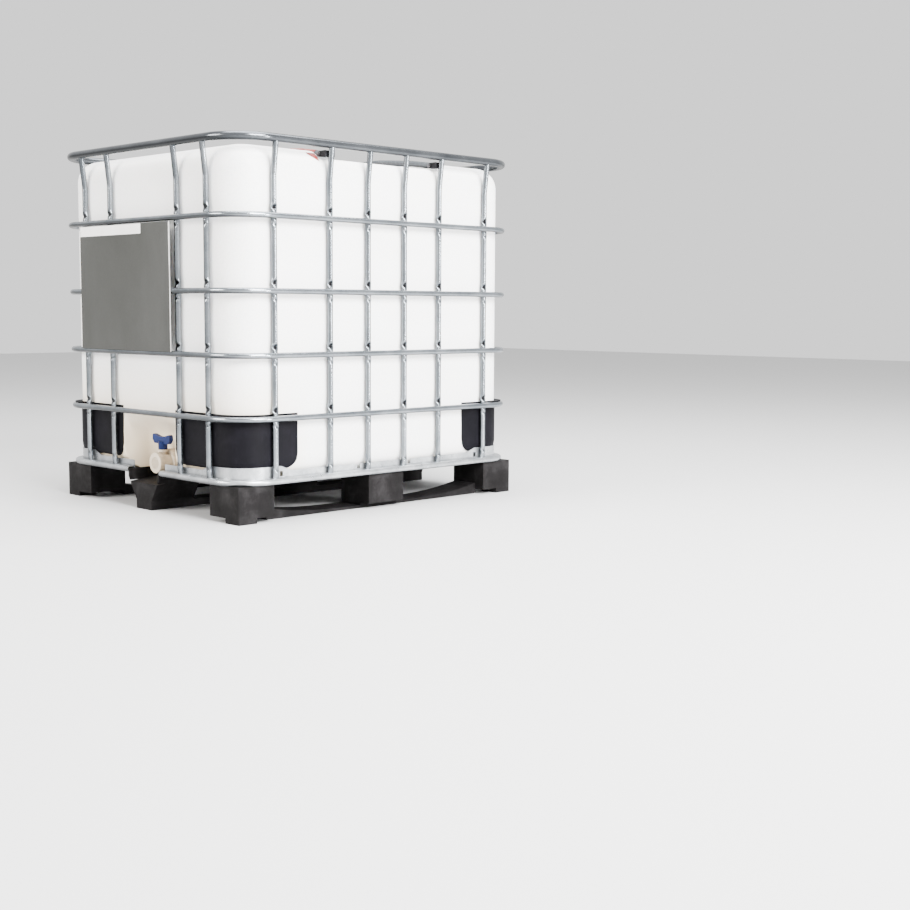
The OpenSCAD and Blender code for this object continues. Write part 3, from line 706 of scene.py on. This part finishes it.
# the folded strip down the plate's right edge, near white as a painted highlight on the fold, as
# (across, depth in mm)
bm = bmesh.new()
fold = [(0.0, 0.05), (0.12, 0.02), (0.9, 0.02), (1.0, 0.08), (1.0, 0.22), (0.0, 0.22)]
rings = []
for k in range(25):
    w = k / 24
    z = plate_lo.z + (plate_hi.z - plate_lo.z) * (0.003 + 0.994 * w)
    width = (3.0 + 3.5 * w + 0.5 * math.sin(9 * w)) * MM
    rings.append([bm.verts.new((plate_hi.x - width * (1 - u), plate_lo.y + d * MM, z))
                  for u, d in fold])
skin(bm, rings)
finish_piece("plate_fold", bm, "fold_steel", "container")


# ------------------------------------------------------------ corner guards

GUARD_FACES = (1.1 * MM, 3.4 * MM)      # inner and outer face, out from the bottle
GUARD_CORNER = 45 * MM                  # rounding of a guard's lower ends
GROOVE_RISE, GROOVE_HALF, GROOVE_DEPTH = 62 * MM, 6 * MM, 0.5 * MM
ROUND_CORNER = 1.0                      # stands for the distance to a guard's end there


def guard_piece(name):
    """Thin sheet wrapped round a bottle corner, curling under with the bottle's foot."""
    lo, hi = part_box(name)
    sx, sy = (1 if lo.x + hi.x > 0 else -1), (1 if lo.y + hi.y > 0 else -1)
    end_x, end_y = min(abs(lo.x), abs(hi.x)), min(abs(lo.y), abs(hi.y))
    cx, cy = bottle_hi.x - EDGE_R, bottle_hi.y - EDGE_R
    bend = low + BASE_R
    steps, rows = 34, 30
    path = []           # place on the bottle, outward direction, distance from the guard's end
    for k in range(steps):
        e = (cx - end_x) * (k / steps)
        path.append((Vector((end_x + e, bottle_hi.y, 0)), Vector((0, 1, 0)), e))
    for k in range(13):
        t = math.radians(90 - 90 * k / 12)
        d = Vector((math.cos(t), math.sin(t), 0))
        path.append((Vector((cx, cy, 0)) + d * EDGE_R, d, ROUND_CORNER))
    for k in range(1, steps + 1):
        e = (cy - end_y) * (1 - k / steps)
        path.append((Vector((bottle_hi.x, end_y + e, 0)), Vector((1, 0, 0)), e))
    bm = bmesh.new()
    grid = {}
    for i, (c, d, e) in enumerate(path):
        foot = lo.z
        if e < GUARD_CORNER:
            foot += GUARD_CORNER - math.sqrt(
                max(0.0, GUARD_CORNER ** 2 - (GUARD_CORNER - e) ** 2))
        for k in range(rows + 1):
            z = foot + (hi.z - foot) * k / rows
            for layer, u in enumerate(GUARD_FACES):
                grooved = layer and 2 < k < rows - 1 and 30 * MM < e < ROUND_CORNER
                if grooved and abs(z - (bend + GROOVE_RISE)) < GROOVE_HALF:
                    u -= GROOVE_DEPTH
                if z < bend:
                    u = -BASE_R + math.sqrt((BASE_R + u) ** 2 - (bend - z) ** 2)
                q = c + d * u
                grid[layer, i, k] = bm.verts.new((q.x * sx, q.y * sy, z))
    sheet_faces(bm, grid, len(path) - 1, rows)
    lip = [(3.2 * MM, -3.2 * MM), (24.5 * MM, -2.6 * MM), (25 * MM, -1.4 * MM),
           (24.5 * MM, 0.0), (3.2 * MM, 0.0)]
    rings = []
    for c, d, e in path:
        if e == ROUND_CORNER:
            rings.append([bm.verts.new(((c + d * u).x * sx, (c + d * u).y * sy, hi.z + drop))
                          for u, drop in lip])
    skin(bm, rings)
    finish_piece("guard_" + name[-1], bm, "guard_plastic", "container", [name], smooth=50)


for number in range(1, 5):
    guard_piece("corner_guard_%d" % number)


# ------------------------------------------ blank strip, red paint, red mark

STRIP_FOOT = 869 * MM
STRIP_END = 25 * MM
STRIP_THICK = 0.3 * MM
strip_lo = (plate_lo.x + 2 * MM, STRIP_FOOT)
strip_hi = (STRIP_END, plate_hi.z - 1 * MM)
nx, nz = 12, 4
bm = bmesh.new()
grid = {}
for layer in (0, 1):
    for i in range(nx + 1):
        for k in range(nz + 1):
            x = strip_lo[0] + (strip_hi[0] - strip_lo[0]) * i / nx
            z = strip_lo[1] + (strip_hi[1] - strip_lo[1]) * k / nz
            y = plate_lo.y + 0.45 * MM - STRIP_THICK * layer
            grid[layer, i, k] = bm.verts.new((x, y, z))
sheet_faces(bm, grid, nx, nz)
finish_piece("blank_strip", bm, "paper", "container")

paint_r = (bar_hi.y - bar_lo.y) / 2 + 0.8 * MM
path = [Vector((x, bar_y, z)) for x, z in ((0.300, 1.12863), (0.357, 1.124), (0.425, 1.11464))]
across = Vector((0, 1, 0))
stations = []
for i, place in enumerate(path):
    slope = (path[min(i + 1, 2)] - path[max(i - 1, 0)]).normalized()
    stations.append((place, across, slope.cross(across)))
bm = bmesh.new()
sweep(bm, stations, lambda i: circle(paint_r, 24))
finish_piece("red_paint_band", bm, "red_paint", "container", smooth=60)

# a thin wedge that lies on the bottle's rounded shoulder, above the camera's side
SHOULDER_X = bottle_hi.x - SHOULDER_R
SHOULDER_Z = CROWN - SHOULDER_R
MARK_TOP, MARK_LIFT, MARK_THICK = 1.112, 0.6 * MM, 0.4 * MM
steps = 12
bm = bmesh.new()
grid = {}
for layer in (0, 1):
    for i in range(steps + 1):
        for k in range(steps + 1):
            u, w = i / steps, k / steps
            z = MARK_TOP - (0.006 + 0.020 * u) * w
            reach = SHOULDER_R + MARK_LIFT
            x = SHOULDER_X + (reach + MARK_THICK * layer) * math.cos(
                math.asin((z - SHOULDER_Z) / reach))
            grid[layer, i, k] = bm.verts.new((x, -0.290 + 0.033 * u, z + MARK_THICK * layer))
sheet_faces(bm, grid, steps, steps)
finish_piece("red_sticker", bm, "red_paint", "container")


# ------------------------------------------------------------ tie brackets

lo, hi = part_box("tie_brackets")
bolt_lo, bolt_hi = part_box("tie_bolts")
bolt_x, bolt_z = bolt_hi.x - 7 * MM, (bolt_lo.z + bolt_hi.z) / 2
strap_half = hi.y - abs(bar_y)
nose_r = 9 * MM
top_z, foot_z, end_x = bolt_z + nose_r, bolt_z - 10 * MM, hi.x - 3 * MM
cheek = [(end_x, foot_z), (end_x, top_z)] + arc(bolt_x, bolt_z, nose_r, 75, 275, 14)
web = [(end_x - 7 * MM, foot_z), (end_x - 7 * MM, top_z),
       (end_x - 4 * MM, top_z), (end_x - 4 * MM, foot_z)]
bm = bmesh.new()
for sx in (-1, 1):
    for sy in (-1, 1):
        y = sy * abs(bar_y)
        for side in (-1, 1):
            prism(bm, [(sx * x, z) for x, z in cheek], "Y",
                  y + side * (strap_half - 3.5 * MM), y + side * (strap_half - 0.3 * MM))
        prism(bm, [(sx * x, z) for x, z in web], "Y",
              y - strap_half + 3.5 * MM, y + strap_half - 3.5 * MM)
finish_piece("bracket_straps", bm, "bracket_steel", "container", ["tie_brackets"],
             smooth=30, bevel=0.6 * MM)


# ------------------------------------------------------- CAD nodes' edges

MOULDED = ["corner_block_1", "corner_block_2", "corner_block_3", "corner_block_4",
           "middle_block_left", "middle_block_right", "centre_skid", "side_runner_left",
           "side_runner_right"]
for name in MOULDED + ["valve_handle", "perimeter_rail"]:
    m = frame["nodes"][name].modifiers.new("edge", "BEVEL")
    m.width = (2.2 if name in MOULDED else 1.0) * MM
    m.segments = 2
    m.limit_method = "ANGLE"
    m.angle_limit = math.radians(40)


# ------------------------------------------------------------ stage & light

FLOOR_GREY = 0.55
WORLD_STRENGTH = 1.3
AIM = (0, 0, 0.6)
floor_material = bpy.data.materials.new("studio_floor")
floor_material.use_nodes = True
b = floor_material.node_tree.nodes["Principled BSDF"]
b.inputs["Base Color"].default_value = (FLOOR_GREY, FLOOR_GREY, FLOOR_GREY, 1)
b.inputs["Roughness"].default_value = 0.6
bm = bmesh.new()
bmesh.ops.create_grid(bm, x_segments=4, y_segments=4, size=14)
mesh = bpy.data.meshes.new("studio_floor")
bm.to_mesh(mesh)
bm.free()
floor = bpy.data.objects.new("studio_floor", mesh)
bpy.context.scene.collection.objects.link(floor)
mesh.materials.append(floor_material)

world = bpy.context.scene.world or bpy.data.worlds.new("world")
bpy.context.scene.world = world
world.use_nodes = True
background = world.node_tree.nodes["Background"]
background.inputs["Color"].default_value = (1, 1, 1, 1)
background.inputs["Strength"].default_value = WORLD_STRENGTH


def area(name, place, size, energy, colour=(1, 1, 1)):
    """Rectangular soft light at place, turned towards the container."""
    light = bpy.data.lights.new(name, "AREA")
    light.shape = "RECTANGLE"
    light.size, light.size_y = size
    light.energy = energy
    light.color = colour
    obj = bpy.data.objects.new(name, light)
    obj.location = place
    obj.rotation_mode = "QUATERNION"
    obj.rotation_quaternion = (Vector(AIM) - Vector(place)).to_track_quat("-Z", "Y")
    bpy.context.scene.collection.objects.link(obj)


area("key", (5.0, -0.6, 3.2), (3.0, 2.4), 1500)
area("front", (-1.5, -5.0, 2.6), (3.0, 2.0), 480, (1, 0.96, 0.91))
area("strip", (4.6, 1.3, 1.0), (0.45, 2.0), 260)
area("top", (0.5, 0.2, 4.6), (4, 4), 620)


# ------------------------------------------------------------------- camera

CAMERA_PLACE = (3.7882, -3.0020, 0.6404)
azimuth, elevation, roll = (math.radians(v) for v in (44.86, 6.011, 0.331))
back = Vector((math.sin(azimuth) * math.cos(elevation),
               -math.cos(azimuth) * math.cos(elevation), math.sin(elevation)))
right = Vector((0, 0, 1)).cross(back).normalized()
up = back.cross(right)
cam_x = right * math.cos(roll) + up * math.sin(roll)
cam_y = up * math.cos(roll) - right * math.sin(roll)
data = bpy.data.cameras.new("camera")
data.sensor_width = 36
data.lens = 54.78
data.clip_start, data.clip_end = 0.05, 100
cam = bpy.data.objects.new("camera", data)
cam.matrix_world = Matrix((
    (cam_x.x, cam_y.x, back.x, CAMERA_PLACE[0]),
    (cam_x.y, cam_y.y, back.y, CAMERA_PLACE[1]),
    (cam_x.z, cam_y.z, back.z, CAMERA_PLACE[2]),
    (0, 0, 0, 1)))
bpy.context.scene.collection.objects.link(cam)
bpy.context.scene.camera = cam
